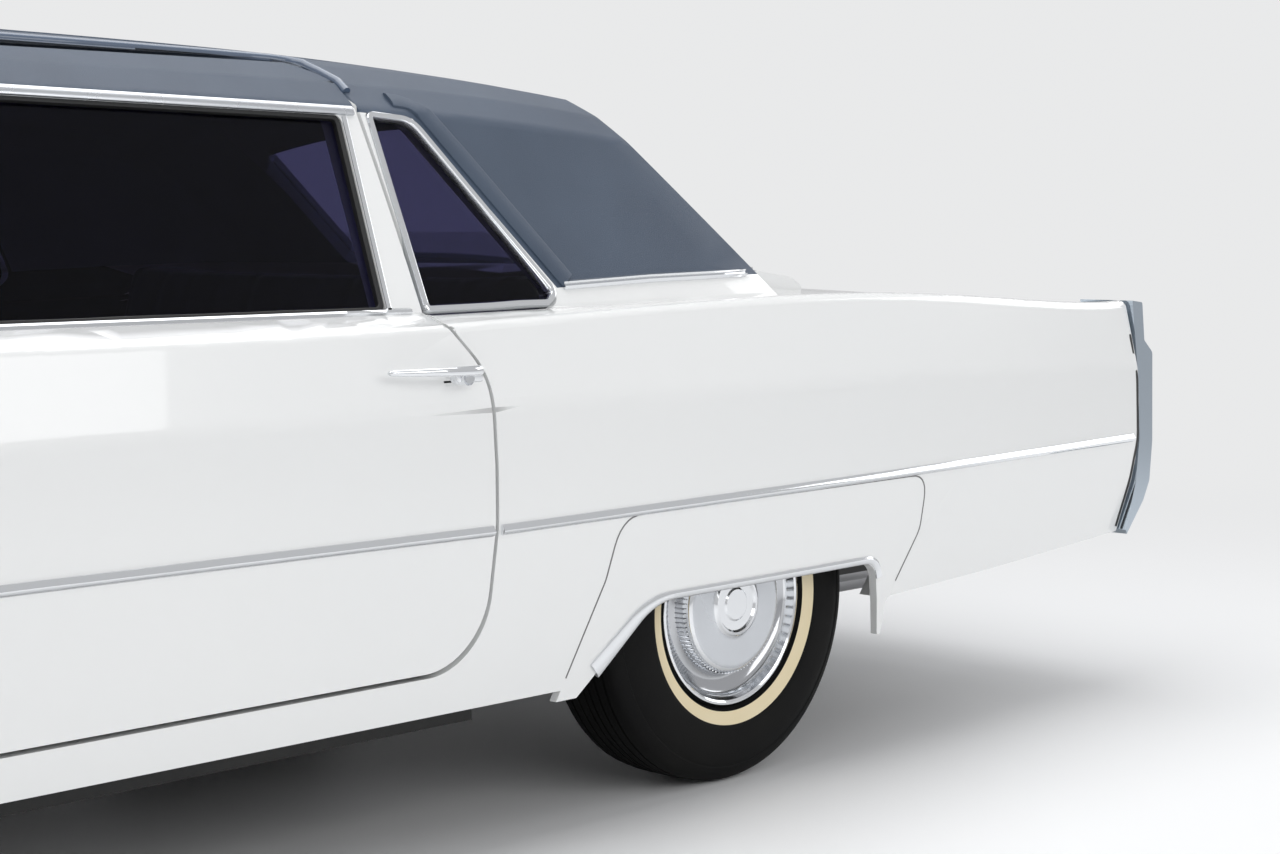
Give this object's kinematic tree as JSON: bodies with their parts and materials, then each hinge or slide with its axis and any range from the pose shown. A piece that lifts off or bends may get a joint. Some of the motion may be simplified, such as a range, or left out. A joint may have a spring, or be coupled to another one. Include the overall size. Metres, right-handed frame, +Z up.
{
  "type": "long-wheelbase six-light limousine",
  "caption": "White long-wheelbase limousine with a padded blue-grey roof, opening doors, hood and trunk lid, steered front wheels and a partitioned cabin.",
  "frame": {"origin": "on the ground, under the middle of the length and width", "axes": "+X forward, +Y to the car's left, +Z up"},
  "size_m": [6.21, 2.12, 1.4685],
  "materials": {
    "white_paint": "gloss",
    "vinyl": "satin",
    "tinted_glass": "gloss",
    "chrome": "polished",
    "black_paint": "satin",
    "steel": "satin",
    "iron": "matte",
    "tyre": "matte",
    "seat_cloth": "matte",
    "cabin_trim": "matte",
    "lamp_glass": "gloss",
    "red_lens": "gloss"
  },
  "bodies": {
    "body": {"body_shell": "white_paint", "chassis_frame": "black_paint", "dashboard": "cabin_trim", "driveshaft": "iron", "engine_block": "iron", "exhaust": "steel", "fender_skirts": "white_paint", "floor_pan": "black_paint", "front_bumper": "chrome", "front_fenders": "white_paint", "front_seat": "seat_cloth", "front_suspension": "iron", "fuel_tank": "steel", "grille": "chrome", "headlamps": "lamp_glass", "jump_seats": "seat_cloth", "partition": "cabin_trim", "quarter_windows": "tinted_glass", "radiator": "steel", "rear_axle": "iron", "rear_bumper": "chrome", "rear_frame": "black_paint", "rear_seat": "seat_cloth", "rear_window": "tinted_glass", "roof": "vinyl", "steering_column": "cabin_trim", "tail_lamps": "red_lens", "trunk_floor": "black_paint", "windshield": "tinted_glass"},
    "knuckle_left": {"knuckle_left": "iron"},
    "wheel_front_left": {"wheel_front_left": "chrome", "tyre_front_left": "tyre"},
    "wheel_rear_left": {"wheel_rear_left": "chrome", "tyre_rear_left": "tyre"},
    "door_front_left": {"door_front_left": "white_paint", "door_glass_front_left": "tinted_glass"},
    "door_rear_left": {"door_rear_left": "white_paint", "door_glass_rear_left": "tinted_glass"},
    "knuckle_right": {"knuckle_right": "iron"},
    "wheel_front_right": {"wheel_front_right": "chrome", "tyre_front_right": "tyre"},
    "wheel_rear_right": {"wheel_rear_right": "chrome", "tyre_rear_right": "tyre"},
    "door_front_right": {"door_front_right": "white_paint", "door_glass_front_right": "tinted_glass"},
    "door_rear_right": {"door_rear_right": "white_paint", "door_glass_rear_right": "tinted_glass"},
    "steering_wheel": {"steering_wheel": "cabin_trim"},
    "hood": {"hood": "white_paint"},
    "trunk_lid": {"trunk_lid": "white_paint"}
  },
  "joints": [
    {"name": "steer_left", "type": "hinge", "parent": "body", "child": "knuckle_left", "pos_m": [2.2, 0.702, 0.358], "axis": [0, 0, 1], "range_deg": [-32, 32]},
    {"name": "front_left_roll", "type": "hinge", "parent": "knuckle_left", "child": "wheel_front_left", "pos_m": [2.2, 0.794, 0.358], "axis": [0, 1, 0], "continuous": true},
    {"name": "rear_left_roll", "type": "hinge", "parent": "body", "child": "wheel_rear_left", "pos_m": [-1.605, 0.794, 0.358], "axis": [0, 1, 0], "continuous": true},
    {"name": "front_left_door", "type": "hinge", "parent": "body", "child": "door_front_left", "pos_m": [1.5, 1.015, 0.6], "axis": [0, 0, -1], "range_deg": [0, 65]},
    {"name": "rear_left_door", "type": "hinge", "parent": "body", "child": "door_rear_left", "pos_m": [0.428, 1.015, 0.6], "axis": [0, 0, -1], "range_deg": [0, 65]},
    {"name": "steer_right", "type": "hinge", "parent": "body", "child": "knuckle_right", "pos_m": [2.2, -0.702, 0.358], "axis": [0, 0, 1], "range_deg": [-32, 32]},
    {"name": "front_right_roll", "type": "hinge", "parent": "knuckle_right", "child": "wheel_front_right", "pos_m": [2.2, -0.794, 0.358], "axis": [0, 1, 0], "continuous": true},
    {"name": "rear_right_roll", "type": "hinge", "parent": "body", "child": "wheel_rear_right", "pos_m": [-1.605, -0.794, 0.358], "axis": [0, 1, 0], "continuous": true},
    {"name": "front_right_door", "type": "hinge", "parent": "body", "child": "door_front_right", "pos_m": [1.5, -1.015, 0.6], "axis": [0, 0, 1], "range_deg": [0, 65]},
    {"name": "rear_right_door", "type": "hinge", "parent": "body", "child": "door_rear_right", "pos_m": [0.428, -1.015, 0.6], "axis": [0, 0, 1], "range_deg": [0, 65]},
    {"name": "steering_wheel_turn", "type": "hinge", "parent": "body", "child": "steering_wheel", "pos_m": [1.19, 0.4, 0.905], "axis": [-0.8617, 0, 0.5074], "range_deg": [-580, 580]},
    {"name": "hood_lift", "type": "hinge", "parent": "body", "child": "hood", "pos_m": [1.69, 0, 0.981], "axis": [0, -1, 0], "range_deg": [0, 50]},
    {"name": "trunk_lift", "type": "hinge", "parent": "body", "child": "trunk_lid", "pos_m": [-2.33, 0, 0.969], "axis": [0, 1, 0], "range_deg": [0, 65]}
  ],
  "couplings": [
    {"joint": "steer_right", "follows": "steer_left", "ratio": 1},
    {"joint": "steering_wheel_turn", "follows": "steer_left", "ratio": 18}
  ]
}
